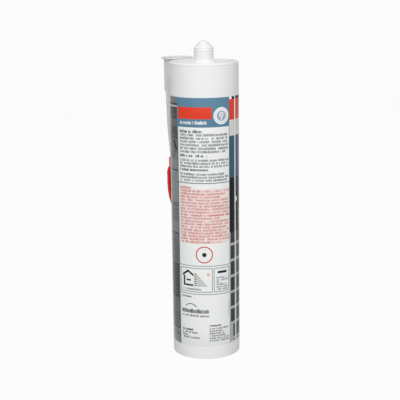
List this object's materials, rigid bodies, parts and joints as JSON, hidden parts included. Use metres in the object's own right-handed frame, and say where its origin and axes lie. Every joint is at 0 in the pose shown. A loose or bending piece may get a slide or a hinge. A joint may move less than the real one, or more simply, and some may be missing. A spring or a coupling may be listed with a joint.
{
  "type": "caulk tube",
  "caption": "Full sealant cartridge for a caulking gun: barrel with closed threaded neck, piston in the open end, wrap label, and a spare capped nozzle stuck on beside it.",
  "frame": {"origin": "centre of the cartridge's open bottom end, on the floor", "axes": "+Z along the cartridge from its open end to its neck; the nozzle stands behind it (+Y) and to its left (-X)"},
  "size_m": [0.0567, 0.0659, 0.2314],
  "materials": {
    "barrel_plastic": "satin white moulded polyethylene",
    "paste": "smooth white paste",
    "piston_plastic": "natural white polyethylene",
    "printed_film": "glossy printed film",
    "nozzle_plastic": "natural translucent polyethylene",
    "cap_plastic": "red moulded polyethylene",
    "hot_melt": "milky hot-melt glue"
  },
  "bodies": {
    "cartridge": {"cartridge": "barrel_plastic", "sealant": "paste", "label": "printed_film", "nozzle": "nozzle_plastic", "glue_bead": "hot_melt"},
    "piston": {"piston": "piston_plastic"},
    "nozzle_cap": {"nozzle_cap": "cap_plastic"}
  },
  "joints": [
    {"name": "piston_slide", "type": "slide", "parent": "cartridge", "child": "piston", "axis": [0, 0, 1], "range_m": [0, 0.1792], "deforming": ["sealant"]},
    {"name": "cap_pull", "type": "slide", "parent": "cartridge", "child": "nozzle_cap", "axis": [0, 0, -1], "range_m": [0, 0.045]}
  ]
}
